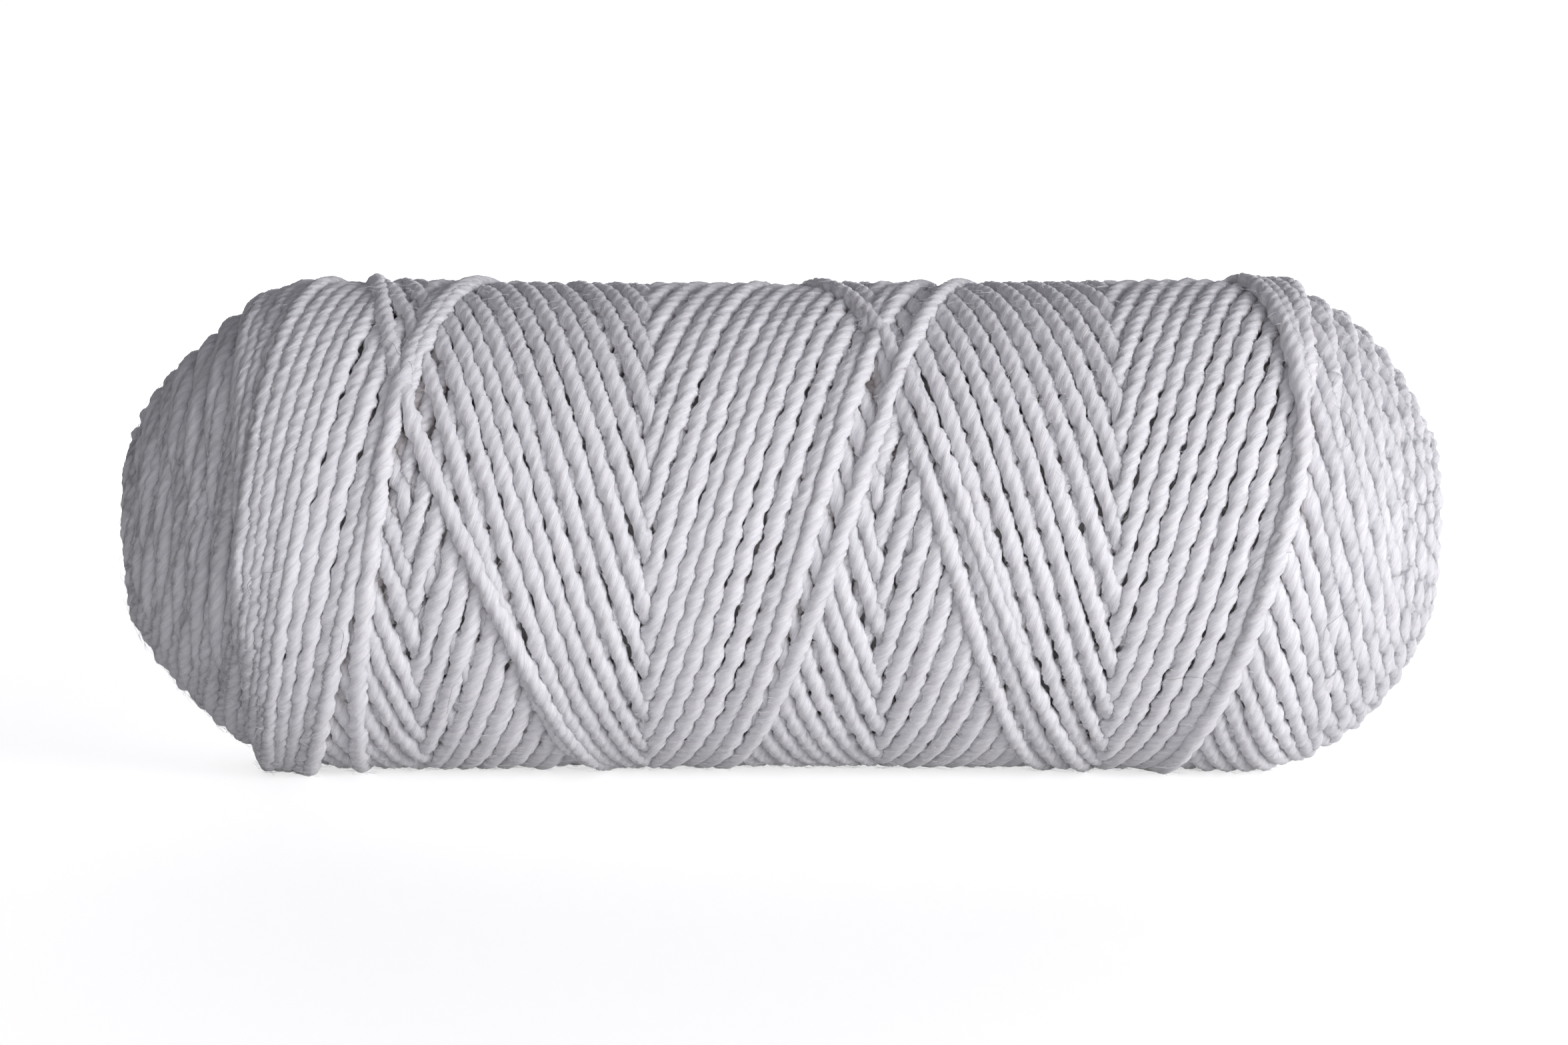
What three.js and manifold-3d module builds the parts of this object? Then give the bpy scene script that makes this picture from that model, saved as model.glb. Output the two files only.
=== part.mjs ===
// A cross-wound spool of soft white cord, lying on its side.
// Millimetres. +X runs along the spool's axis, +Z is up, and the table is z = 0.
// The cord is one long strand. Its wound body is built as the layers it was wound in,
// and the last pass of the strand, which stands proud of the rest, as real cord.

import * as THREE from 'three';
import { mergeVertices } from 'three/addons/utils/BufferGeometryUtils.js';
import Module from 'manifold-3d';

const wasm = await Module();
wasm.setup();

// Driving dimensions
const SHOULDER_RADIUS = 25.1; // wound body at the two ends of its straight part
const WAIST_RADIUS = 24.5; // wound body at mid-length, where it is slightly hollow
const SHOULDER_X = 51; // half-length of the straight part
const DOME_DEPTH = 15.8; // how far the ends would reach past the shoulders on the axis
const DOME_POWER = 2.25; // fullness of the rounded ends
const AXIS_HEIGHT = 24.6; // a little under the shoulder radius: the cord is pressed flat there
const CORD_DIAMETER = 2;
const TUBE_OUTER_RADIUS = 8;
const TUBE_BORE_RADIUS = 6.5;
const TUBE_HALF_LENGTH = 64; // the tube's ends are set back inside the wound ends
const TUBE_EDGE = 0.3; // chamfer on the tube's rims
const LAYER_STEP = 3.2; // wound thickness of each inner layer
const INNER_LAYERS = 4;
const GAP = 0.3; // clearance between neighbouring solids

// Fineness of the facets
const TURN_SEGMENTS = 56;
const DOME_STEPS = 3; // along the end face of each layer
const SADDLE_STEPS = 8; // along the outermost surface
const CORD_SIDES = 8;
const CORD_STEPS = 76; // in each half of the last pass

// How the last pass lies on the wound body
const SINK = 0.4; // the strand's centre lies this far under the body's surface
const CROSSING_LIFT = 1.1; // the upper strand's rise where the two halves cross
const CROSSING_STEP = CORD_DIAMETER + GAP + 0.1; // from the lower strand's centre to the upper's
const CROSSING_WIDTH = 3; // how far from a crossing the rise and dip reach
const SAME_STRAND = 200; // degrees within which the strand can't cross itself
const TUCK_DEPTH = 1.4; // how deep the pass's two ends go under the surface
const TUCK_SHARE = 0.06; // share of the route over which they do so
const TABLE_CLEARANCE = 0.02;

// Route of the last pass: degrees wound so far, counted from the front (-Y) upwards, and x.
// It runs left along the body, turns back on the far side, runs right over itself,
// turns at the right shoulder and ends tucked in behind.
const LEFT_ROUTE = [
  [158, 41], [228, 34.8], [300, 28.5], [365, 18.5], [416, 10.2], [458, 3], [560, -9], [664, -20.5],
  [700, -26], [730, -32], [748, -35.6], [780, -39.1], [818, -41.2], [900, -43.4],
];
const RIGHT_ROUTE = [
  [900, -43.4], [998, -42.6], [1050, -41.5], [1108, -38.3], [1134, -36.2], [1167, -32], [1280, -16.5],
  [1394, -2], [1457, 7.3], [1538, 18], [1640, 31.5], [1745, 39.8], [1791, 46.3], [1824, 50.5],
  [1850, 50], [1898, 46], [1938, 42.5],
];

const CORD_WHITE = { color: 0xe9e9ee, roughness: 0.92, metalness: 0 };
const PAPER_GREY = { color: 0xb9ad9b, roughness: 0.85, metalness: 0 };

// Half-length of the wound body at a given distance from the axis, out to the shoulder.
function halfLength(radius) {
  return SHOULDER_X + DOME_DEPTH * (1 - (radius / SHOULDER_RADIUS) ** DOME_POWER);
}

// Radius of the straight part's surface, slightly hollow towards mid-length.
function saddleRadius(x) {
  const along = Math.min(Math.abs(x) / SHOULDER_X, 1);
  return WAIST_RADIUS + (SHOULDER_RADIUS - WAIST_RADIUS) * along ** 2;
}

// Turns a closed outline of [radius, x] points about the X axis.
function turned(outline) {
  const points = [...outline, outline[0]].map(([radius, x]) => new THREE.Vector2(radius, x));
  const geometry = new THREE.LatheGeometry(points, TURN_SEGMENTS);
  geometry.rotateZ(-Math.PI / 2);
  geometry.translate(0, 0, AXIS_HEIGHT);
  return geometry;
}

// The rounded end face between two radii, from the inner one outwards.
function endFace(inner, outer) {
  const points = [];
  for (let i = 0; i <= DOME_STEPS; i += 1) {
    const radius = inner + ((outer - inner) * i) / DOME_STEPS;
    points.push([radius, halfLength(radius)]);
  }
  return points;
}

function mirroredBack(points) {
  return points.map(([radius, x]) => [radius, -x]).reverse();
}

function innerLayer(inner, outer) {
  const right = endFace(inner, outer);
  return turned([...right, ...mirroredBack(right)].reverse());
}

function outerLayer(inner) {
  const right = endFace(inner, SHOULDER_RADIUS);
  const saddle = [];
  for (let i = 1; i < SADDLE_STEPS; i += 1) {
    const x = SHOULDER_X * (1 - (2 * i) / SADDLE_STEPS);
    saddle.push([saddleRadius(x), x]);
  }
  return turned([...right, ...saddle, ...mirroredBack(right)].reverse());
}

function tubeGeometry() {
  const end = TUBE_HALF_LENGTH;
  const right = [
    [TUBE_BORE_RADIUS, end - TUBE_EDGE],
    [TUBE_BORE_RADIUS + TUBE_EDGE, end],
    [TUBE_OUTER_RADIUS - TUBE_EDGE, end],
    [TUBE_OUTER_RADIUS, end - TUBE_EDGE],
  ];
  return turned([...right, ...mirroredBack(right)].reverse());
}

function surfacePoint(degrees, x, radius) {
  const angle = THREE.MathUtils.degToRad(degrees);
  return new THREE.Vector3(x, -radius * Math.cos(angle), AXIS_HEIGHT + radius * Math.sin(angle));
}

// The centre line of half of the last pass, laid on the wound body. The upper half rises where
// it crosses the lower one, which dips under it. One end of each half is tucked under the
// surface: the start of the lower half and the finish of the upper one.
class Strand extends THREE.Curve {
  constructor(route, isUpper) {
    super();
    this.route = new THREE.SplineCurve(route.map(([degrees, x]) => new THREE.Vector2(degrees, x)));
    this.isUpper = isUpper;
    this.crossed = [];
  }

  // Samples the other half of the pass, which this half has to keep clear of.
  crossing(other) {
    const samples = 600;
    this.crossed = other.route.getPoints(samples).map(({ x: degrees, y: x }) => ({
      degrees,
      place: surfacePoint(degrees, x, SHOULDER_RADIUS),
    }));
  }

  // 1 where this half crosses the other, falling to 0 away from it.
  closeness(degrees, x) {
    const here = surfacePoint(degrees, x, SHOULDER_RADIUS);
    let nearest = Infinity;
    for (const { degrees: there, place } of this.crossed) {
      if (Math.abs(there - degrees) > SAME_STRAND) nearest = Math.min(nearest, here.distanceTo(place));
    }
    return Math.exp(-((nearest / CROSSING_WIDTH) ** 2));
  }

  getPoint(t) {
    const { x: degrees, y: x } = this.route.getPoint(t);
    const crossing = this.closeness(degrees, x);
    const down = -Math.sin(THREE.MathUtils.degToRad(degrees));
    const tableLimit = down > 0 ? (AXIS_HEIGHT - CORD_DIAMETER / 2 - TABLE_CLEARANCE) / down : Infinity;
    let radius = Math.min(saddleRadius(x) - SINK + CROSSING_LIFT * crossing, tableLimit);
    if (!this.isUpper) radius -= CROSSING_STEP * crossing;
    const fromTuckedEnd = this.isUpper ? 1 - t : t;
    radius -= TUCK_DEPTH * (1 - THREE.MathUtils.smoothstep(fromTuckedEnd, 0, TUCK_SHARE));
    return surfacePoint(degrees, x, radius);
  }
}

// A stretch of another curve, between two fractions of its length.
class Stretch extends THREE.Curve {
  constructor(whole, from, to) {
    super();
    this.whole = whole;
    this.from = from;
    this.to = to;
  }

  getPoint(t) {
    return this.whole.getPoint(this.from + (this.to - this.from) * t);
  }
}

function sweptTube(curve, radius) {
  const section = new THREE.Shape();
  for (let i = 0; i < CORD_SIDES; i += 1) {
    const angle = (2 * Math.PI * i) / CORD_SIDES;
    const [u, v] = [radius * Math.cos(angle), radius * Math.sin(angle)];
    if (i === 0) section.moveTo(u, v);
    else section.lineTo(u, v);
  }
  section.closePath();
  return new THREE.ExtrudeGeometry(section, { steps: CORD_STEPS, extrudePath: curve });
}

// The cord stops short of its tucked end, and half as short of the other half of the pass.
function cordGeometry(strand) {
  const atTuck = GAP / strand.getLength();
  const atOtherHalf = atTuck / 2;
  const whole = strand.isUpper
    ? new Stretch(strand, atOtherHalf, 1 - atTuck)
    : new Stretch(strand, atTuck, 1 - atOtherHalf);
  return sweptTube(whole, CORD_DIAMETER / 2);
}

function toSolid(geometry) {
  const bare = geometry.clone();
  bare.deleteAttribute('normal');
  bare.deleteAttribute('uv');
  const merged = mergeVertices(bare, 1e-4);
  const vertProperties = new Float32Array(merged.attributes.position.array);
  return new wasm.Manifold(
    new wasm.Mesh({ numProp: 3, vertProperties, triVerts: new Uint32Array(merged.index.array) }),
  );
}

function toGeometry(solid) {
  const { vertProperties, triVerts } = solid.getMesh();
  const geometry = new THREE.BufferGeometry();
  geometry.setAttribute('position', new THREE.BufferAttribute(new Float32Array(vertProperties), 3));
  geometry.setIndex(new THREE.BufferAttribute(new Uint32Array(triVerts), 1));
  geometry.computeVertexNormals();
  return geometry;
}

// The outermost layer, flat where it rests and grooved where the last pass lies in it.
function groovedLayer(inner, strands) {
  const table = new THREE.BoxGeometry(3 * SHOULDER_X, 4 * SHOULDER_RADIUS, SHOULDER_RADIUS);
  table.translate(0, 0, -SHOULDER_RADIUS / 2);
  let body = toSolid(outerLayer(inner)).subtract(toSolid(table));
  for (const strand of strands) {
    body = body.subtract(toSolid(sweptTube(strand, CORD_DIAMETER / 2 + GAP)));
  }
  return toGeometry(body);
}

function named(name, geometry, look) {
  const mesh = new THREE.Mesh(geometry, new THREE.MeshStandardMaterial(look));
  mesh.name = name;
  return mesh;
}

function woundSpool() {
  const spool = new THREE.Group();
  spool.add(named('core_tube', tubeGeometry(), PAPER_GREY));

  for (let i = 0; i < INNER_LAYERS; i += 1) {
    const inner = TUBE_OUTER_RADIUS + LAYER_STEP * i + GAP;
    const outer = TUBE_OUTER_RADIUS + LAYER_STEP * (i + 1);
    spool.add(named(`winding_layer_${i + 1}`, innerLayer(inner, outer), CORD_WHITE));
  }

  const leftward = new Strand(LEFT_ROUTE, false);
  const rightward = new Strand(RIGHT_ROUTE, true);
  leftward.crossing(rightward);
  rightward.crossing(leftward);
  const inner = TUBE_OUTER_RADIUS + LAYER_STEP * INNER_LAYERS + GAP;
  const outermost = groovedLayer(inner, [leftward, rightward]);
  spool.add(named(`winding_layer_${INNER_LAYERS + 1}`, outermost, CORD_WHITE));
  spool.add(named('last_wrap_leftward', cordGeometry(leftward), CORD_WHITE));
  spool.add(named('last_wrap_rightward', cordGeometry(rightward), CORD_WHITE));
  return spool;
}

export default woundSpool();
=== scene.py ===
"""A cross-wound spool of soft white cord, lying on its side on a pale floor.

The winding is simulated strand by strand, from the tube outwards: each pass of the cord is laid, taut, over
the surface that the passes before it have left. What can be seen of it is then swept as twisted cord.
Lengths in this file are millimetres and angles are degrees until the meshes are made.
"""

import math

import bpy
import numpy as np
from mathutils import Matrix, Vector


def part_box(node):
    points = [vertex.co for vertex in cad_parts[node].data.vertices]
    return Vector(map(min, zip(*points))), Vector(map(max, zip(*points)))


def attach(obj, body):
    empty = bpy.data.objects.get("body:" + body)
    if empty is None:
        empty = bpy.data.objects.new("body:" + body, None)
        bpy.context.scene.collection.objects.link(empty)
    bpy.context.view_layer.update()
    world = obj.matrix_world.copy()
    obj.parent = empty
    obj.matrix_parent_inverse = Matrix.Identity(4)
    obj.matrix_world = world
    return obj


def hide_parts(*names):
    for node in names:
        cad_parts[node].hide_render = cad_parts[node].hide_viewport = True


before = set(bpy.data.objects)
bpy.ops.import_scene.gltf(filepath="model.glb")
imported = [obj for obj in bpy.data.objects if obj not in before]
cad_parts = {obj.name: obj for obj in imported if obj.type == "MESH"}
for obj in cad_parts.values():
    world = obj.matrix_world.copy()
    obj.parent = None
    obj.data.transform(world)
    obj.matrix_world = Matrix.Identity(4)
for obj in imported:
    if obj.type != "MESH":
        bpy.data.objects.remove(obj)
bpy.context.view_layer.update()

MM = 0.001
SEED = 7

# ---- the wound body, as in the CAD part ----------------------------------------------------------------
TUBE_LOW, TUBE_HIGH = (np.array(corner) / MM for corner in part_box("core_tube"))
AXIS_HEIGHT = (TUBE_LOW[2] + TUBE_HIGH[2]) / 2
TUBE_RADIUS = (TUBE_HIGH[2] - TUBE_LOW[2]) / 2
TUBE_HALF_LENGTH = TUBE_HIGH[0]
TUBE_WALL = 1.5
SHOULDER_RADIUS = 25.1
WAIST_RADIUS = 24.5
SHOULDER_X = 51.0
DOME_DEPTH = 15.8
DOME_POWER = 2.25
LAYER_TOP_RADII = (11.2, 14.4, 17.6, 20.8, SHOULDER_RADIUS)

# ---- the cord ------------------------------------------------------------------------------------------
CORD_RADIUS = 1.0
PLIES = 4
PLY_PITCH = 6.4
PLY_GROOVE = 0.115
SECTION_ANGLES = (0, 20, 45, 70)
LOFT = 0.03
TWIST_SLIP = 0.35
UNEVEN_LENGTH = 4.0

# ---- the winding law -----------------------------------------------------------------------------------
TURNS = 5
STEP_BACK = 16.0
NEWEST_PEAK = 24.0
LEFTWARD_DEGREES = 860.0
GROWTH = 0.086
RIGHT_STROKE = 0.3
LEFT_STROKE = 1.0
RIGHT_JITTER = 0.12
LEFT_JITTER = 0.55
LAG_LEAVING_RIGHT = (12.0, 25.0)
LAG_LEAVING_LEFT = (75.0, 105.0)
LAG_ARRIVING = (9.0, 14.0)
LATE_RIGHT = 14
LATE_LEFT = 6
WANDER = 0.08
WANDER_LENGTH = 12.0
LAY_STEP = 0.3
LEAD_COSINE = 0.956
CONTACT = -0.4
TIGHTNESS = 0.85
BEND_LENGTH = 0.9
PROUD = 0.35
PRESS = 0.5
CROSSING_LENGTH = 1.6
CROSSING_HEIGHT = 0.02
PRESSED_SIDE = 0.95
JOIN_LENGTH = 2.5
EDGE = 2.0
LEVEL_LENGTH = 1.8
LEVELLING = 0.85
CREST_OVER_MEAN = 0.02
ON_TUBE = 0.85
SEAT_X = 54.0
SEAT_RADIUS = 17.0

# The last pass to the left and back: degrees wound, place along the axis. The points are the CAD part's,
# after three more at the start, where the pass leaves the right shoulder. The CAD part's strand starts later.
LEFT_ROUTE = ((40, 50.4), (66, 49.7), (98, 47.2),
              (158, 41), (228, 34.8), (300, 28.5), (365, 18.5), (416, 10.2), (458, 3), (560, -9),
              (664, -20.5), (700, -26), (730, -32), (748, -35.6), (780, -39.1), (818, -41.2), (900, -43.4))
RIGHT_ROUTE = ((900, -43.4), (998, -42.6), (1050, -41.5), (1108, -38.3), (1134, -36.2), (1167, -32),
               (1280, -16.5), (1394, -2), (1457, 7.3), (1538, 18), (1640, 31.5), (1745, 39.8), (1791, 46.3),
               (1824, 50.5), (1850, 50), (1898, 46), (1938, 42.5))

# ---- the height map of the winding ---------------------------------------------------------------------
CELL = 0.3
MAP_HALF = 68.0
COLUMNS = 2 * int(MAP_HALF / CELL) + 1
ROWS = 512
MAP_X = -MAP_HALF + CELL * np.arange(COLUMNS)
FEEL = np.array([-0.85, -0.5, 0.0, 0.5, 0.85]) * CORD_RADIUS
STAMP = np.linspace(-0.97, 0.97, 13) * CORD_RADIUS


def dome_x(radius):
    """How far from the middle the winding reaches at a radius."""
    return SHOULDER_X + DOME_DEPTH * (1 - (radius / SHOULDER_RADIUS) ** DOME_POWER)


def dome_radius(x):
    """The radius of the rounded end at a distance from the middle."""
    left = np.clip(1 - (np.abs(x) - SHOULDER_X) / DOME_DEPTH, 0, None)
    return SHOULDER_RADIUS * left ** (1 / DOME_POWER)


def body_radius(x, radius):
    """The slightly waisted surface between the ends, once the winding has grown to a radius."""
    sag = (SHOULDER_RADIUS - WAIST_RADIUS) * (radius - TUBE_RADIUS) / (SHOULDER_RADIUS - TUBE_RADIUS)
    return radius - sag * np.clip(1 - (x / SHOULDER_X) ** 2, 0, None)


def envelope(x, radius):
    """The smooth outer surface, with the rounded ends."""
    body = body_radius(x, radius)
    return np.where(np.abs(x) < SHOULDER_X, body, np.minimum(body, dome_radius(x)))


def stroke(radius):
    """How far from the middle a cord at a radius turns back, so that its side touches the rounded end."""
    slope = DOME_DEPTH * DOME_POWER / SHOULDER_RADIUS * (radius / SHOULDER_RADIUS) ** (DOME_POWER - 1)
    return dome_x(radius) - CORD_RADIUS * np.hypot(1, slope)


def smooth(values, sigma):
    """Gaussian smoothing of a list of values."""
    reach = int(3 * sigma + 1)
    weights = np.exp(-0.5 * (np.arange(-reach, reach + 1) / sigma) ** 2)
    return np.convolve(np.pad(values, reach, mode="edge"), weights / weights.sum(), mode="valid")


def concave_hull(along, height):
    """The taut string over a profile: its upper concave hull."""
    kept = []
    for i, (a, h) in enumerate(zip(along.tolist(), height.tolist())):
        while len(kept) >= 2:
            (a0, h0, _), (a1, h1, _) = kept[-2], kept[-1]
            if (h1 - h0) * (a - a0) > (h - h0) * (a1 - a0):
                break
            kept.pop()
        kept.append((a, h, i))
    chosen = [i for _, _, i in kept]
    return np.interp(along, along[chosen], height[chosen])


def read_map(heights, x, angle):
    """The height map between its cells."""
    column = np.clip((x + MAP_HALF) / CELL, 0, COLUMNS - 1.001)
    row = (angle / (2 * math.pi) * ROWS) % ROWS
    c, r = column.astype(int), row.astype(int)
    u, v, r1 = column - c, row - r, (r + 1) % ROWS
    near = (1 - v) * heights[c, r] + v * heights[c, r1]
    far = (1 - v) * heights[c + 1, r] + v * heights[c + 1, r1]
    return (1 - u) * near + u * far


class Maps:
    """The surface of the winding so far, over the place along the axis and the angle.

    heights: how far out it reaches. owners: the cord sample on top. facing: which way that cord runs.
    under: how far out the cords reach that cross below the uppermost ones.
    """

    def __init__(self):
        tube = np.where(np.abs(MAP_X)[:, None] < TUBE_HALF_LENGTH + 2, TUBE_RADIUS, 0.0)
        self.heights = tube + np.zeros((COLUMNS, ROWS))
        self.under = self.heights.copy()
        self.owners = np.full((COLUMNS, ROWS), -1, np.int32)
        self.facing = np.zeros((COLUMNS, ROWS), np.int8)

    def cover(self, cells, tops, ids, facing):
        """Puts a strand's upper side on top wherever it is the highest."""
        heights, under = self.heights.ravel(), self.under.ravel()
        owners, faced = self.owners.ravel(), self.facing.ravel()
        order = np.argsort(tops, kind="stable")
        cells, tops, ids = cells[order], tops[order], ids[order]
        higher = tops > heights[cells]
        cells, tops, ids = cells[higher], tops[higher], ids[higher]
        crossed = cells[faced[cells] != facing]
        under[crossed] = heights[crossed]
        heights[cells] = tops
        owners[cells] = ids
        faced[cells] = facing

    def lower(self, step):
        """Sinks the whole surface by a step."""
        self.heights -= step
        self.under -= step


class Strand:
    """One pass of the cord from one end to the other."""

    def __init__(self, age, x, angle, radius):
        self.x, self.angle, self.nominal = x, angle, radius
        self.radius = np.clip(dome_radius(x) - CORD_RADIUS, TUBE_RADIUS, radius)
        self.age = np.full(len(x), age)
        self.wound = np.full(len(x), radius)
        turned, travelled = self.radius * np.gradient(angle), np.gradient(x)
        step = np.hypot(turned, travelled)
        self.along = np.concatenate([[0], np.cumsum(step[1:])])
        self.tx, self.ta = travelled / step, turned / step

    def beside(self, offset):
        """Points at a sideways distance from the strand."""
        return self.x - self.ta * offset, self.angle + self.tx * offset / self.radius

    def lay(self, heights):
        """Stretches the strand over the surface below it."""
        support = np.full(len(self.x), -1e9)
        for offset in FEEL:
            round_under = CONTACT - 0.3 * (offset / CORD_RADIUS) ** 2
            support = np.maximum(support, read_map(heights, *self.beside(offset)) + round_under)
        bend = float(np.mean(self.ta ** 2 / self.radius))
        arch = bend * (self.along - self.along.mean()) ** 2 / 2
        taut = concave_hull(self.along, support - arch) + arch
        self.height = smooth(TIGHTNESS * taut + (1 - TIGHTNESS) * support, BEND_LENGTH / LAY_STEP)
        cap = body_radius(self.x, self.nominal + CORD_RADIUS) - CORD_RADIUS + PROUD
        self.height -= PRESS * np.clip(self.height - cap, 0, None)

    def stamp(self, maps, first):
        """Adds the strand's upper side to the maps."""
        cells, tops, ids = [], [], []
        for offset in STAMP:
            x, angle = self.beside(offset)
            column = np.clip(np.rint((x + MAP_HALF) / CELL).astype(int), 0, COLUMNS - 1)
            row = np.rint(angle / (2 * math.pi) * ROWS).astype(int) % ROWS
            cells.append(column * ROWS + row)
            tops.append(self.height + math.sqrt(CORD_RADIUS ** 2 - offset ** 2))
            ids.append(first + np.arange(len(x)))
        maps.cover(np.concatenate(cells), np.concatenate(tops), np.concatenate(ids),
                   1 if self.x[-1] > self.x[0] else -1)

    def seat(self):
        """Keeps the strand off the tube, and brings the oldest ones down to it where they turn back."""
        at_turn = np.clip((np.abs(self.x) - SEAT_X) / 4, 0, 1)
        share = at_turn * np.clip((SEAT_RADIUS - self.nominal) / 7, 0, 1)
        self.height = self.height - share * np.clip(self.height - self.nominal, 0, None)
        self.height = np.maximum(self.height, TUBE_RADIUS + ON_TUBE)

    def press(self, under):
        """How far each side of the strand is pushed out by the cords it crosses, or sinks in between them."""
        sides = []
        for offset in (-PRESSED_SIDE, PRESSED_SIDE):
            support = read_map(under, *self.beside(offset))
            bump = support - smooth(support, CROSSING_LENGTH / LAY_STEP)
            sides.append(smooth(1 / (1 + np.exp(-bump / CROSSING_HEIGHT)), 0.3 / LAY_STEP))
        self.pressed = np.stack(sides, -1)


def lag(early_and_late, age, late):
    """How slowly the cord turns back: differently in the passes that are younger than an age."""
    early, young = early_and_late
    return early + (young - early) / (1 + math.exp((age - late) / 1.5))


def traverse(start, turned, x_from, x_to, lag_leaving, age, radius, rng):
    """Angles and places of one pass, slow near its two ends."""
    count = int(math.radians(turned) * radius / LEAD_COSINE / LAY_STEP)
    u = np.linspace(0, turned, count)
    arriving = lag(LAG_ARRIVING, age, LATE_RIGHT)
    speed = (1 - np.exp(-u / lag_leaving)) * (1 - np.exp(-(turned - u) / arriving))
    share = np.concatenate([[0], np.cumsum((speed[1:] + speed[:-1]) / 2)])
    drift = smooth(rng.normal(0, 1, count), WANDER_LENGTH / LAY_STEP)
    drift *= WANDER / drift.std() * np.clip(np.minimum(u, turned - u) / 90, 0, 1)
    return x_from + (x_to - x_from) * share / share[-1] + drift, np.radians(start + u)


def route(points, radius):
    """Angles and places of a pass through listed points, on a smooth curve."""
    degrees, places = (np.array(column, float) for column in zip(*points))
    fine = np.arange(degrees[0], degrees[-1] + 0.5, 1.0)
    x = smooth(np.interp(fine, degrees, places), 9.0)
    count = int(math.radians(degrees[-1] - degrees[0]) * radius / LEAD_COSINE / LAY_STEP)
    u = np.linspace(degrees[0], degrees[-1], count)
    return np.interp(u, fine, x), np.radians(u)


def crest_above(heights):
    """How far the tops of the cords stand above the smooth surface, averaged round each place."""
    above = heights - envelope(MAP_X, SHOULDER_RADIUS)[:, None] + CREST_OVER_MEAN
    for axis, cell in ((0, CELL), (1, 2 * math.pi * WAIST_RADIUS / ROWS)):
        reach = int(2.5 * LEVEL_LENGTH / cell)
        weights = np.exp(-0.5 * (np.arange(-reach, reach + 1) * cell / LEVEL_LENGTH) ** 2)
        shares = zip(range(-reach, reach + 1), weights / weights.sum())
        above = sum(share * np.roll(above, k, axis) for k, share in shares)
    return above


def level_map(heights):
    """How far each place sinks or rises as the soft winding settles towards its smooth surface."""
    fade = np.clip((SHOULDER_X + 1 - np.abs(MAP_X)) / 4, 0, 1)[:, None]
    return LEVELLING * fade * crest_above(heights)


def wind():
    """Winds the whole cord. Returns its passes and the maps of the finished surface."""
    rng = np.random.default_rng(SEED)
    last = int(round((SHOULDER_RADIUS - TUBE_RADIUS - CORD_RADIUS) / GROWTH))
    maps = Maps()
    squeezed = np.zeros(COLUMNS)
    strands, samples = [], 0
    double_turn = 360 * TURNS - STEP_BACK
    radii = SHOULDER_RADIUS - CORD_RADIUS - GROWTH * np.arange(last + 1)
    rights = stroke(radii) + RIGHT_STROKE - abs(rng.normal(0, RIGHT_JITTER, last + 1))
    lefts = stroke(radii) + LEFT_STROKE - abs(rng.normal(0, LEFT_JITTER, last + 1))
    rights[0] = LEFT_ROUTE[0][1]
    for age in range(last, -1, -1):
        radius = radii[age]
        start = NEWEST_PEAK + 360 * TURNS - double_turn * (age + 1)
        turn = start + LEFTWARD_DEGREES
        if age > 0:
            slow_right = lag(LAG_LEAVING_RIGHT, age, LATE_RIGHT)
            slow_left = lag(LAG_LEAVING_LEFT, age, LATE_LEFT)
            leftward = traverse(start, LEFTWARD_DEGREES, rights[age], -lefts[age],
                                slow_right, age, radius, rng)
            rightward = traverse(turn, double_turn - LEFTWARD_DEGREES, -lefts[age], rights[age - 1],
                                 slow_left, age, radius, rng)
        else:
            leftward, rightward = route(LEFT_ROUTE, radius), route(RIGHT_ROUTE, radius)
        for x, angle in (leftward, rightward):
            strand = Strand(age, x, angle, radius)
            strand.lay(maps.heights)
            strand.squeezed = np.interp(x, MAP_X, squeezed)
            strand.stamp(maps, samples)
            samples += len(x)
            strands.append(strand)
        excess = np.percentile(maps.heights, 80, axis=1) - body_radius(MAP_X, radius + CORD_RADIUS)
        inside = np.abs(MAP_X) < stroke(radius) - EDGE
        excess = np.interp(MAP_X, MAP_X[inside], excess[inside])
        excess *= np.clip((dome_x(radius) + EDGE - np.abs(MAP_X)) / EDGE, 0, 1)
        excess = smooth(excess, 1.5 / CELL)
        squeezed += excess
        maps.lower(excess[:, None])
    step = level_map(maps.heights)
    maps.lower(step)
    for strand in strands:
        settled = np.interp(strand.x, MAP_X, squeezed) - strand.squeezed
        strand.height = strand.height - settled - read_map(step, strand.x, strand.angle)
        strand.seat()
        strand.press(maps.under)
    for before, after in zip(strands, strands[1:]):
        join(before, after)
    return strands, maps


def join(before, after):
    """Brings the end of one pass and the start of the next to the same height, at the turn between them."""
    gap = after.height[0] - before.height[-1]
    before.height += gap / 2 * np.exp(-0.5 * ((before.along[-1] - before.along) / JOIN_LENGTH) ** 2)
    after.height -= gap / 2 * np.exp(-0.5 * (after.along / JOIN_LENGTH) ** 2)
    after.along += before.along[-1]


class Cord:
    """The whole cord as one list of samples."""

    def __init__(self, strands):
        for key in ("x", "angle", "height", "along", "age", "wound", "pressed"):
            setattr(self, key, np.concatenate([getattr(strand, key) for strand in strands]))
        self.turn = np.cumsum([len(strand.x) for strand in strands])
        self.centre = place(self.x, self.angle, self.height)
        self.tangent = unit(np.gradient(self.centre, axis=0))
        rng = np.random.default_rng(SEED + 2)
        uneven = [smooth(rng.normal(0, 1, len(self.x)), UNEVEN_LENGTH / LAY_STEP) for _ in range(2)]
        loft, slip = (values / values.std() for values in uneven)
        self.loft = 1 + LOFT * np.clip(loft, -2, 2)
        self.twist = 2 * math.pi * self.along / PLY_PITCH + TWIST_SLIP * slip


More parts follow.
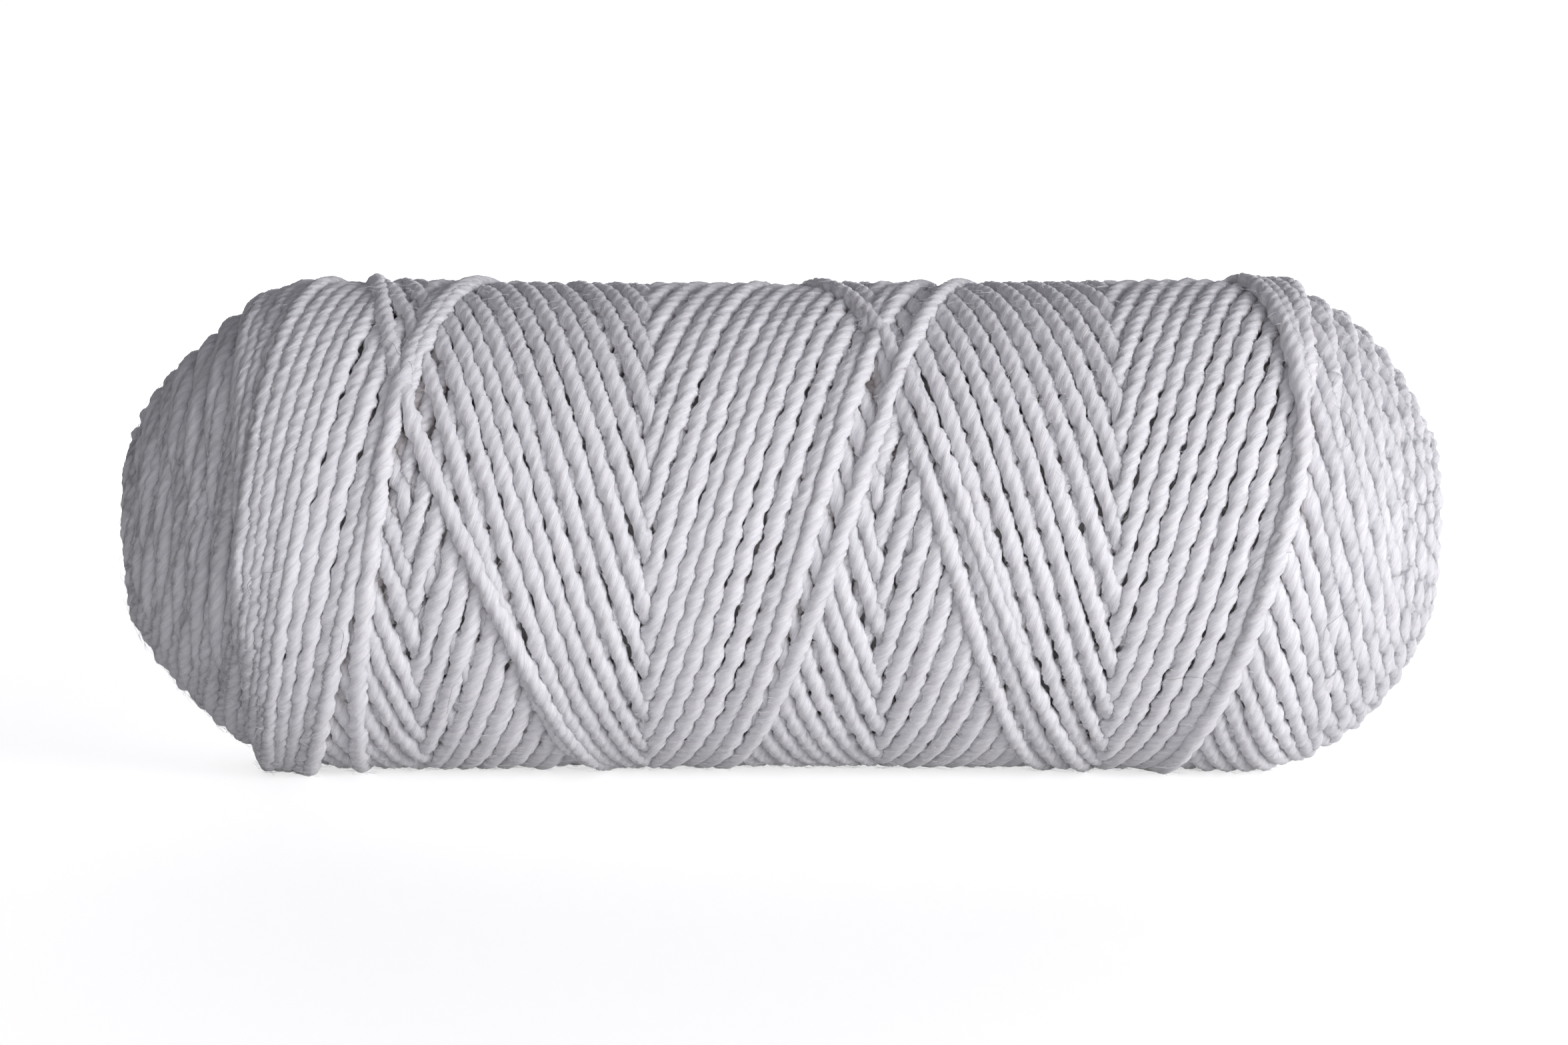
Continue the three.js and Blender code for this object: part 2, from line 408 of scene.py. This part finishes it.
# ---- from the winding to meshes ------------------------------------------------------------------------
MESH_EVERY = 2
HIDDEN_MARGIN = 2.0
DOME_MARGIN = 6.0
DOME_VIEW_X = 48.0
SHORTEST_RUN = 3.0
END_VIEW_X = 54.0
END_CELL = 0.7
END_ROWS = 256
END_SLACK = 0.5
FLATTEN = 0.12
WIDEST = 1.14
NARROWEST = 0.68
TABLE_SOFTNESS = 0.12
BODY_DEPTH = 2.3
AGE_BANDS = (1, 5, 9, 14, 19, 24)
LEFTWARD, RIGHTWARD = 20, 21


def place(x, angle, radius):
    """Points in the CAD frame, from a place along the axis, an angle up from the front and a radius."""
    return np.stack([x, -radius * np.cos(angle), AXIS_HEIGHT + radius * np.sin(angle)], -1)


def unit(vectors):
    """The vectors at length one."""
    return vectors / np.linalg.norm(vectors, axis=-1, keepdims=True)


def outward(x, angle):
    """The direction straight out of the smooth surface."""
    slope = (envelope(x + 0.2, SHOULDER_RADIUS) - envelope(x - 0.2, SHOULDER_RADIUS)) / 0.4
    return unit(place(-np.clip(slope, -3, 3), angle, 1.0) - [0, 0, AXIS_HEIGHT])


def rest_on_table(points):
    """Presses flat what would reach below the table."""
    z = points[..., 2]
    points[..., 2] = np.where(z > 8 * TABLE_SOFTNESS, z, TABLE_SOFTNESS * np.logaddexp(0, z / TABLE_SOFTNESS))
    return points


def crest_map(heights):
    """The level of the tops of the cords round each place."""
    return crest_above(heights) + envelope(MAP_X, SHOULDER_RADIUS)[:, None]


def widen(marks, distance):
    """The marks and all samples within a distance of them."""
    reach = int(distance / LAY_STEP)
    return np.convolve(marks, np.ones(2 * reach + 1), mode="same") > 0.5


def piece_ids(cord):
    """The number of the piece that each sample of the cord belongs to."""
    layer = 1 + np.searchsorted(LAYER_TOP_RADII, cord.wound + CORD_RADIUS - 0.01)
    ids = np.where(layer < 5, layer, 5 + np.searchsorted(AGE_BANDS, cord.age, side="right"))
    ids[cord.turn[-3]:cord.turn[-2]] = LEFTWARD
    ids[cord.turn[-2]:] = RIGHTWARD
    return ids


def seen_from_the_ends(cord):
    """Marks the samples that reach furthest out along the axis, at their radius and angle."""
    seen = np.zeros(len(cord.x), bool)
    row = np.floor(cord.angle / (2 * math.pi) * END_ROWS).astype(int) % END_ROWS
    cell = np.rint(cord.height / END_CELL).astype(int) * END_ROWS + row
    for side in (-1, 1):
        near = np.flatnonzero(side * cord.x > END_VIEW_X)
        reach = side * cord.x[near]
        furthest = np.full(cell.max() + 1, -np.inf)
        np.maximum.at(furthest, cell[near], reach)
        seen[near[reach > furthest[cell[near]] - END_SLACK]] = True
    return seen


def visible_runs(cord, owners):
    """The stretches of the cord that come to the surface, and a little of what goes on under the others.

    They are lists of samples, by the number of their piece, cut where one piece ends and the next begins.
    """
    seen = seen_from_the_ends(cord)
    seen[owners[owners >= 0]] = True
    on_dome = np.abs(cord.x) > DOME_VIEW_X
    near = widen(seen, HIDDEN_MARGIN) | widen(seen & on_dome, DOME_MARGIN)
    edges = np.flatnonzero(np.diff(np.concatenate([[0], near.astype(int), [0]])))
    ids = piece_ids(cord)
    runs = {}
    for start, end in zip(edges[::2], edges[1::2] - 1):
        if cord.along[end] - cord.along[start] < SHORTEST_RUN:
            continue
        cuts = start + 1 + np.flatnonzero(np.diff(ids[start:end]))
        for first, last in zip([start, *cuts], [*cuts, end]):
            runs.setdefault(int(ids[first]), []).append(np.append(np.arange(first, last, MESH_EVERY), last))
    return runs


def ring_angles():
    """The angles of the points round the cord's section, four to each ply."""
    degrees = [a + 360 / PLIES * ply for ply in range(PLIES) for a in SECTION_ANGLES]
    return np.radians(degrees)


def sweep_run(cord, part, crest):
    """The points of one stretch of twisted cord, ring by ring, and what its material needs."""
    x, angle, along = cord.x[part], cord.angle[part], cord.along[part]
    centre, tangent, normal = cord.centre[part], cord.tangent[part], outward(x, angle)
    normal = unit(normal - tangent * np.sum(normal * tangent, -1, keepdims=True))
    side = np.cross(tangent, normal)
    loft = cord.loft[part][:, None]
    section = ring_angles()
    groove = np.sin(PLIES / 2 * section) ** 4
    lobes = CORD_RADIUS * (1 - PLY_GROOVE * groove)
    turned = section[None] + cord.twist[part][:, None]
    towards = (1 + np.sin(turned)) / 2
    pressed = cord.pressed[part][:, :1] * (1 - towards) + cord.pressed[part][:, 1:] * towards
    high = loft * lobes * np.cos(turned) * (1 - FLATTEN * pressed)
    wide = loft * lobes * np.sin(turned) * (NARROWEST + (WIDEST - NARROWEST) * pressed)
    points = centre[:, None] + high[..., None] * normal[:, None] + wide[..., None] * side[:, None]
    reach = np.hypot(points[..., 1], points[..., 2] - AXIS_HEIGHT)
    around = np.arctan2(points[..., 2] - AXIS_HEIGHT, -points[..., 1])
    # How far each point lies below the crest of the cords round it, which the material turns into painted
    # shade; the painted shade is weaker on the rounded ends.
    depth = (read_map(crest, points[..., 0], around) - reach) * np.hypot(normal[:, 1], normal[:, 2])[:, None]
    depth *= np.interp(np.abs(points[..., 0]), (SHOULDER_X - 3, SHOULDER_X + 3), (1, 0.25))
    across = lobes * np.cos(section), lobes * np.sin(section)
    fibre = np.stack(np.broadcast_arrays(*across, along[:, None]), -1)
    return rest_on_table(points), fibre, depth, np.broadcast_to(groove, depth.shape)


def mesh_object(name, points, loops, starts, material, attributes):
    """A mesh object: points in millimetres, the corners of its faces and where each face starts."""
    mesh = bpy.data.meshes.new(name)
    mesh.vertices.add(len(points))
    mesh.vertices.foreach_set("co", (points * MM).astype(np.float32).ravel())
    mesh.loops.add(len(loops))
    mesh.loops.foreach_set("vertex_index", loops.astype(np.int32))
    mesh.polygons.add(len(starts))
    mesh.polygons.foreach_set("loop_start", starts.astype(np.int32))
    mesh.update(calc_edges=True)
    mesh.shade_smooth()
    for key, values in attributes.items():
        kind = ("FLOAT_VECTOR", "vector") if values.ndim == 2 else ("FLOAT", "value")
        layer = mesh.attributes.new(key, kind[0], "POINT")
        layer.data.foreach_set(kind[1], values.astype(np.float32).ravel())
    mesh.materials.append(material)
    made = bpy.data.objects.new(name, mesh)
    bpy.context.collection.objects.link(made)
    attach(made, "root")
    return made


def tube_faces(lengths, sides):
    """Faces of closed tubes: how many rings each has, and how many points a ring has."""
    first = np.concatenate([[0], np.cumsum(lengths)[:-1]])
    ring = np.concatenate([np.arange(f, f + n - 1) for f, n in zip(first, lengths)])
    k = np.arange(sides)
    low, high = ring[:, None] * sides, (ring[:, None] + 1) * sides
    quads = np.stack([low + k, low + (k + 1) % sides, high + (k + 1) % sides, high + k], -1).reshape(-1, 4)
    caps_start = first[:, None] * sides + k[::-1]
    caps_end = (first + lengths - 1)[:, None] * sides + k
    caps = np.concatenate([caps_start, caps_end])
    loops = np.concatenate([quads.ravel(), caps.ravel()])
    starts = np.concatenate([4 * np.arange(len(quads)), quads.size + sides * np.arange(len(caps))])
    return loops, starts


def cord_piece(name, cord, runs, crest, material):
    """One piece made of stretches of twisted cord."""
    swept = [sweep_run(cord, part, crest) for part in runs]
    lengths = np.array([len(points) for points, _, _, _ in swept])
    points = np.concatenate([p.reshape(-1, 3) for p, _, _, _ in swept])
    fibre = np.concatenate([f.reshape(-1, 3) for _, f, _, _ in swept])
    depth = np.concatenate([d.ravel() for _, _, d, _ in swept])
    groove = np.concatenate([g.ravel() for _, _, _, g in swept])
    loops, starts = tube_faces(lengths, PLIES * len(SECTION_ANGLES))
    attributes = {"fibre": fibre, "depth": depth, "groove": groove}
    return mesh_object(name, points, loops, starts, material, attributes)


def lathe(name, profile, material, extra):
    """A closed ring turned round the spool's axis from a closed profile of (place along the axis, radius)."""
    sides = 144
    angle = 2 * math.pi * np.arange(sides) / sides
    x, radius = (np.array(column, float)[:, None] for column in zip(*profile))
    points = place(*np.broadcast_arrays(x, angle[None], radius)).reshape(-1, 3)
    count = len(profile)
    ring, k = np.arange(count)[:, None], np.arange(sides)[None]
    after, next_k = (ring + 1) % count, (k + 1) % sides
    quads = np.stack([ring * sides + k, after * sides + k, after * sides + next_k, ring * sides + next_k], -1)
    unrolled = np.stack(np.broadcast_arrays(x, radius, radius * angle[None]), -1).reshape(-1, 3)
    attributes = {"fibre": unrolled, **{key: np.full(len(points), value) for key, value in extra.items()}}
    return mesh_object(name, points, quads.ravel(), 4 * np.arange(quads.size // 4), material, attributes)


def layer_profile(low, high, outermost):
    """The section of a layer's hidden body, a little below the cords that show."""
    top = high - BODY_DEPTH if outermost else high
    radii = np.linspace(low, top, 9)
    right = [(stroke(r) + CORD_RADIUS - BODY_DEPTH, r) for r in radii]
    left = [(-x, r) for x, r in reversed(right)]
    across = np.linspace(0.97, -0.97, 33) * right[-1][0]
    if outermost:
        over = [(x, body_radius(x, SHOULDER_RADIUS) - BODY_DEPTH) for x in across]
    else:
        over = [(x, top) for x in across[::16]]
    return right + over + left


# ---- loose fibres --------------------------------------------------------------------------------------
FUZZ_PIECES = 3
FUZZ_PER_PIECE = 4800
FUZZ_RADIUS = 0.014
FUZZ_POINTS = 5
HAIR_RADIUS = 0.022
# Stray hairs: place along the axis, angle up from the front, heading and length in mm.
HAIRS = ((57, 38, 150, 7), (54, 27, 20, 6), (60, 12, 80, 5), (49, 2, 170, 6),
         (44, -33, 160, 9), (52, -20, 100, 6), (-36, 44, 120, 6), (-51, -8, 140, 6),
         (-45, -28, 60, 8), (-33, -40, 100, 5), (12, 150, 40, 7), (-20, 200, 110, 8))


def thin_tubes(name, paths, radius, material):
    """Thin closed three-sided tubes along paths of equally many points."""
    tangent = unit(np.gradient(paths, axis=1))
    side = unit(np.cross(tangent, [0.31, 0.52, 0.79]))
    up = np.cross(side, tangent)
    count = paths.shape[1]
    taper = np.interp(np.linspace(0, 1, count), (0, 0.7, 1), (1, 0.9, 0.35))[None, :, None]
    corners = np.radians((0, 120, 240))
    rings = [paths + radius * taper * (side * math.cos(a) + up * math.sin(a)) for a in corners]
    points = np.stack(rings, 2)
    loops, starts = tube_faces(np.full(len(paths), count), 3)
    seed = np.broadcast_to(np.arange(len(paths))[:, None, None], points.shape[:3]).astype(float)
    along = np.broadcast_to(np.linspace(0, 1, count)[None, :, None], points.shape[:3])
    fibre = np.stack([seed, along, np.zeros_like(seed)], -1).reshape(-1, 3)
    return mesh_object(name, points.reshape(-1, 3), loops, starts, material, {"fibre": fibre})


def fuzz_paths(cord, owners, rng):
    """Paths of short fibres that leave the visible cord, arch over its surface and mostly lie down again."""
    columns, rows = (rng.integers(0, size, 4 * FUZZ_PER_PIECE) for size in owners.shape)
    samples = owners[columns, rows]
    samples = samples[samples >= 0][:FUZZ_PER_PIECE]
    centre, normal = cord.centre[samples], outward(cord.x[samples], cord.angle[samples])
    tangent = unit(cord.tangent[samples] - normal * np.sum(cord.tangent[samples] * normal, -1, keepdims=True))
    side = np.cross(tangent, normal)
    count = len(samples)
    across = rng.uniform(-0.8, 0.8, count)
    start = centre + side * across[:, None] + normal * (0.9 * np.sqrt(1 - across ** 2))[:, None]
    heading = np.radians(rng.normal(30, 45, count)) + math.pi * rng.integers(0, 2, count)
    length = rng.uniform(0.8, 2.8, count)
    lift = rng.uniform(0.03, 0.30, count)
    curl = rng.normal(0, 0.9, count)
    t = np.linspace(0, 1, FUZZ_POINTS)[None]
    bent = heading[:, None] + curl[:, None] * t
    steps = np.stack([np.cos(bent), np.sin(bent)], -1) * (length / FUZZ_POINTS)[:, None, None]
    flat = np.cumsum(steps, axis=1)
    rise = lift[:, None] * np.sin(math.pi * rng.uniform(0.55, 1.0, count)[:, None] * t)
    paths = start[:, None] + flat[..., :1] * tangent[:, None] + flat[..., 1:] * side[:, None]
    return rest_on_table(paths + rise[..., None] * normal[:, None])


def hair_path(x, degrees, heading, length, rng):
    """A kinked hair that lies over the cords."""
    count = 26
    bearing = math.radians(heading) + np.cumsum(smooth(rng.normal(0, 0.55, count), 0.8)) * 0.5
    step = length / count
    xs = x + step * np.cumsum(np.cos(bearing))
    radius = envelope(xs, SHOULDER_RADIUS)
    angles = math.radians(degrees) + step * np.cumsum(np.sin(bearing)) / radius
    above = 0.12 + 0.22 * smooth(rng.uniform(0, 1, count), 1.5)
    return place(xs, angles, radius) + outward(xs, angles) * above[:, None]


# ---- materials -----------------------------------------------------------------------------------------
class Nodes:
    """A material's node tree, with short ways to add to it."""

    def __init__(self, name, **settings):
        self.material = bpy.data.materials.new(name)
        self.material.use_nodes = True
        self.tree = self.material.node_tree
        self.shader = self.tree.nodes["Principled BSDF"]
        for key, value in settings.items():
            self.shader.inputs[key.replace("_", " ")].default_value = value

    def add(self, kind, links=(), **values):
        node = self.tree.nodes.new("ShaderNode" + kind)
        for key, value in values.items():
            node.inputs[key.replace("_", " ")].default_value = value
        for source, target in links:
            self.tree.links.new(source, node.inputs[target])
        return node

    def attribute(self, name):
        node = self.tree.nodes.new("ShaderNodeAttribute")
        node.attribute_name = name
        return node

    def ramp(self, source, *stops):
        node = self.add("ValToRGB", [(source, "Fac")])
        for element, (position, color) in zip(node.color_ramp.elements, stops):
            element.position = position
            element.color = (*color, 1)
        return node.outputs["Color"]

    def noise(self, vector, stretch, detail=3.0, roughness=0.65):
        moved = self.add("Mapping", [(vector, "Vector")], Scale=stretch)
        node = self.add("TexNoise", [(moved.outputs["Vector"], "Vector")], Scale=1.0, Detail=detail,
                        Roughness=roughness)
        return node.outputs["Fac"]

    def math(self, operation, source, value):
        node = self.tree.nodes.new("ShaderNodeMath")
        node.operation = operation
        self.tree.links.new(source, node.inputs[0])
        if isinstance(value, (int, float)):
            node.inputs[1].default_value = value
        else:
            self.tree.links.new(value, node.inputs[1])
        return node.outputs[0]

    def multiply(self, first, second):
        node = self.tree.nodes.new("ShaderNodeMix")
        node.data_type = "RGBA"
        node.blend_type = "MULTIPLY"
        node.inputs["Factor"].default_value = 1.0
        self.tree.links.new(first, node.inputs["A"])
        self.tree.links.new(second, node.inputs["B"])
        return node.outputs["Result"]

    def finish(self, color, height, distance, strength=0.5):
        bump = self.add("Bump", [(height, "Height")], Strength=strength, Distance=distance * MM)
        self.tree.links.new(bump.outputs["Normal"], self.shader.inputs["Normal"])
        self.tree.links.new(color, self.shader.inputs["Base Color"])
        return self.material


def cord_material():
    """Soft white cotton: fibres along the plies, a faint sheen, painted grey-brown shade in the recesses
    between the cords and a lighter painted shade in the grooves between the plies.
    """
    m = Nodes("soft_white_cord", Subsurface_Weight=0.6, Subsurface_Radius=(1.0, 0.95, 0.9),
              Subsurface_Scale=0.0015, Roughness=0.6, Specular_IOR_Level=0.35, Sheen_Weight=0.25,
              Sheen_Roughness=0.5)
    fibre = m.attribute("fibre").outputs["Vector"]
    hairs = m.noise(fibre, (7.5, 7.5, 0.75))
    tone = m.ramp(hairs, (0.36, (0.785, 0.78, 0.81)), (0.62, (0.965, 0.96, 0.985)))
    # Painted shade: the further a point lies below the crest of the cords round it, the more grey-brown it is
    # painted, standing in for the shade between the cords.
    recess_shade = m.ramp(m.math("MULTIPLY", m.attribute("depth").outputs["Fac"], 0.4),
                  (0.28, (1, 1, 1)), (0.70, (0.50, 0.45, 0.41)))
    # Painted shade: the grooves between the plies are painted a little darker and cooler.
    groove = m.ramp(m.attribute("groove").outputs["Fac"], (0.2, (1, 1, 1)), (1.0, (0.91, 0.905, 0.92)))
    return m.finish(m.multiply(m.multiply(tone, recess_shade), groove), hairs, 0.12, 0.9)


def fuzz_material():
    """Loose cotton fibres, a little lighter and darker from one to the next."""
    m = Nodes("loose_fibres", Roughness=0.7, Sheen_Weight=0.4)
    noise = m.noise(m.attribute("fibre").outputs["Vector"], (0.37, 1.5, 1.0))
    return m.finish(m.ramp(noise, (0.3, (0.80, 0.80, 0.82)), (0.7, (0.96, 0.96, 0.97))), noise, 0.01)


def hair_material():
    """Stray grey hairs caught in the cord."""
    m = Nodes("stray_hairs", Roughness=0.6)
    noise = m.noise(m.attribute("fibre").outputs["Vector"], (0.7, 6.0, 1.0))
    return m.finish(m.ramp(noise, (0.3, (0.16, 0.14, 0.13)), (0.7, (0.38, 0.36, 0.35))), noise, 0.01)


def paper_material():
    """Spirally wound grey-brown paper board, with its seam and its plies at the cut ends."""
    m = Nodes("paper_tube", Roughness=0.85, Specular_IOR_Level=0.2)
    unrolled = m.attribute("fibre").outputs["Vector"]
    parts = m.add("SeparateXYZ", [(unrolled, "Vector")])
    fine = m.noise(unrolled, (1.3, 9.0, 1.3), detail=5.0)
    along = m.math("DIVIDE", parts.outputs["X"], 38.0)
    lead = m.math("ADD", along, m.math("DIVIDE", parts.outputs["Z"], 45.0))
    seam = m.math("FRACT", lead, 0.0)
    near = m.math("ABSOLUTE", m.math("SUBTRACT", seam, 0.5), 0.0)
    line = m.ramp(near, (0.004, (0.55, 0.52, 0.5)), (0.012, (1, 1, 1)))
    color = m.ramp(fine, (0.3, (0.52, 0.43, 0.33)), (0.7, (0.68, 0.60, 0.49)))
    return m.finish(m.multiply(color, line), m.math("MULTIPLY", fine, line), 0.05)


# ---- the object ----------------------------------------------------------------------------------------
def build_cord(cord, maps, cotton):
    """The cord where it shows, piece by piece, each standing for the layer it was wound in."""
    crest = crest_map(maps.heights)
    for number, runs in sorted(visible_runs(cord, maps.owners).items()):
        if number >= LEFTWARD:
            node = "last_wrap_leftward" if number == LEFTWARD else "last_wrap_rightward"
            name = node + "_cord"
        else:
            node = f"winding_layer_{min(number, 5)}"
            name = f"layer_{number}_cord" if number < 5 else f"layer_5_cord_{number - 5}"
        piece = cord_piece(name, cord, runs, crest, cotton)
        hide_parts(node)


def build_bodies(cotton):
    """The hidden body of each layer, so that nothing shows through between the cords."""
    low = TUBE_RADIUS + 0.1
    for number, high in enumerate(LAYER_TOP_RADII, 1):
        profile = layer_profile(low, high - 0.1, number == len(LAYER_TOP_RADII))
        # The hidden bodies carry a set depth and groove, so they are painted with the grey-brown shade of the
        # recesses between the cords.
        body = lathe(f"layer_{number}_body", profile, cotton, {"depth": 1.3, "groove": 0.5})
        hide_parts(f"winding_layer_{number}")
        low = high


def build_tube():
    """The paper tube, with softened edges."""
    inner, outer, end, soft = TUBE_RADIUS - TUBE_WALL, TUBE_RADIUS, TUBE_HALF_LENGTH, 0.25
    corner = [(soft * (1 - math.cos(a)), soft * (1 - math.sin(a))) for a in np.radians((0, 30, 60, 90))]
    right = [(end - dx, inner + dr) for dr, dx in corner[::-1]]
    right += [(end - dx, outer - dr) for dr, dx in corner]
    left = [(-x, r) for x, r in reversed(right)]
    outside = [(x, outer) for x in np.linspace(end - 1, 1 - end, 40)]
    inside = [(-x, inner) for x, _ in outside]
    tube = lathe("paper_tube", right + outside + left + inside, paper_material(), {})
    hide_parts("core_tube")


def build_fibres(cord, owners):
    """The fuzz of the cord and the stray hairs."""
    rng = np.random.default_rng(SEED + 1)
    white, grey = fuzz_material(), hair_material()
    for number in range(1, FUZZ_PIECES + 1):
        fuzz = thin_tubes(f"fuzz_{number}", fuzz_paths(cord, owners, rng), FUZZ_RADIUS, white)
    hairs = thin_tubes("stray_hairs", np.array([hair_path(*hair, rng) for hair in HAIRS]), HAIR_RADIUS, grey)


strands, maps = wind()
cord = Cord(strands)
cotton = cord_material()
build_cord(cord, maps, cotton)
build_bodies(cotton)
build_tube()
build_fibres(cord, maps.owners)


# ---- floor, light and camera, in metres ----------------------------------------------------------------
FLOOR_HALF = 6.0
FLOOR_GLOW = (0.68, 0.92)
GLOW_REACH = (0.08, 0.6)
WORLD_LEFT, WORLD_RIGHT = 0.01, 0.27
CAMERA_DISTANCE = 0.510
CAMERA_ELEVATION = math.radians(8)
CAMERA_AIM_HEIGHT = 0.0248
CAMERA_LENS = 115.9
# Name, place, size, power in watts and colour.
LIGHTS = (("key", (0.66, -0.50, 0.10), (0.4, 0.35), 6.6, (1.0, 0.985, 1.0)),
          ("fill", (-0.10, -0.90, 0.08), (1.0, 0.4), 3.4, (1.0, 0.98, 1.0)),
          ("back", (0.10, 0.90, 0.06), (0.9, 0.25), 12.0, (0.97, 0.98, 1.0)),
          ("top", (0.1, 0.1, 0.8), (0.9, 0.9), 0.25, (0.82, 0.87, 1.0)))


def floor_material():
    """A pale floor with a glow that only the camera sees."""
    m = Nodes("pale_floor", Roughness=0.9, Emission_Color=(1, 1, 1, 1))
    position = m.add("NewGeometry").outputs["Position"]
    away = m.add("VectorMath", [(position, 0)])
    away.operation = "LENGTH"
    glow = m.add("MapRange", [(away.outputs["Value"], "Value")], From_Min=GLOW_REACH[0],
                 From_Max=GLOW_REACH[1], To_Min=FLOOR_GLOW[0], To_Max=FLOOR_GLOW[1])
    seen = m.math("MULTIPLY", m.add("LightPath").outputs["Is Camera Ray"], glow.outputs["Result"])
    m.tree.links.new(seen, m.shader.inputs["Emission Strength"])
    noise = m.noise(position, (300, 300, 300))
    return m.finish(m.ramp(noise, (0.3, (0.80, 0.80, 0.80)), (0.7, (0.82, 0.82, 0.82))), noise, 0.01)


def build_floor():
    """The plain floor that the spool lies on."""
    mesh = bpy.data.meshes.new("floor")
    corners = [(x * FLOOR_HALF, y * FLOOR_HALF, 0) for x, y in ((-1, -1), (1, -1), (1, 1), (-1, 1))]
    mesh.from_pydata(corners, [], [(0, 1, 2, 3)])
    mesh.materials.append(floor_material())
    floor = bpy.data.objects.new("floor", mesh)
    bpy.context.collection.objects.link(floor)


def area_light(name, location, size, power, color):
    """A soft rectangular light aimed at the spool."""
    light = bpy.data.lights.new(name, "AREA")
    light.shape = "RECTANGLE"
    light.size, light.size_y = size
    light.energy = power
    light.color = color
    made = bpy.data.objects.new(name, light)
    bpy.context.collection.objects.link(made)
    made.location = location
    aim = Vector((0, 0, AXIS_HEIGHT * MM)) - made.location
    made.rotation_mode = "QUATERNION"
    made.rotation_quaternion = aim.to_track_quat("-Z", "Y")


def build_world():
    """A dim room, darker on the left, in front of a white surround."""
    world = bpy.data.worlds.new("studio")
    bpy.context.scene.world = world
    world.use_nodes = True
    tree = world.node_tree
    room = tree.nodes["Background"]
    room.inputs["Color"].default_value = (0.88, 0.87, 1.0, 1)
    surround = tree.nodes.new("ShaderNodeBackground")
    surround.inputs["Color"].default_value = (1, 1, 1, 1)
    where = tree.nodes.new("ShaderNodeTexCoord")
    parts = tree.nodes.new("ShaderNodeSeparateXYZ")
    ramp = tree.nodes.new("ShaderNodeMapRange")
    limits = {"From Min": -1.0, "From Max": 1.0, "To Min": WORLD_LEFT, "To Max": WORLD_RIGHT}
    for key, value in limits.items():
        ramp.inputs[key].default_value = value
    path = tree.nodes.new("ShaderNodeLightPath")
    mix = tree.nodes.new("ShaderNodeMixShader")
    tree.links.new(where.outputs["Generated"], parts.inputs["Vector"])
    tree.links.new(parts.outputs["X"], ramp.inputs["Value"])
    tree.links.new(ramp.outputs["Result"], room.inputs["Strength"])
    tree.links.new(path.outputs["Is Camera Ray"], mix.inputs["Fac"])
    tree.links.new(room.outputs["Background"], mix.inputs[1])
    tree.links.new(surround.outputs["Background"], mix.inputs[2])
    tree.links.new(mix.outputs["Shader"], tree.nodes["World Output"].inputs["Surface"])


def build_camera():
    """A long lens, a little above the table, square to the spool's axis."""
    camera = bpy.data.objects.new("camera", bpy.data.cameras.new("camera"))
    bpy.context.collection.objects.link(camera)
    back, up = math.cos(CAMERA_ELEVATION), math.sin(CAMERA_ELEVATION)
    camera.location = (0, -CAMERA_DISTANCE * back, CAMERA_AIM_HEIGHT + CAMERA_DISTANCE * up)
    camera.rotation_euler = (math.pi / 2 - CAMERA_ELEVATION, 0, 0)
    camera.data.lens = CAMERA_LENS
    camera.data.clip_start, camera.data.clip_end = 0.01, 20
    bpy.context.scene.camera = camera
    bpy.context.scene.view_settings.view_transform = "Standard"


build_floor()
for light in LIGHTS:
    area_light(*light)
build_world()
build_camera()
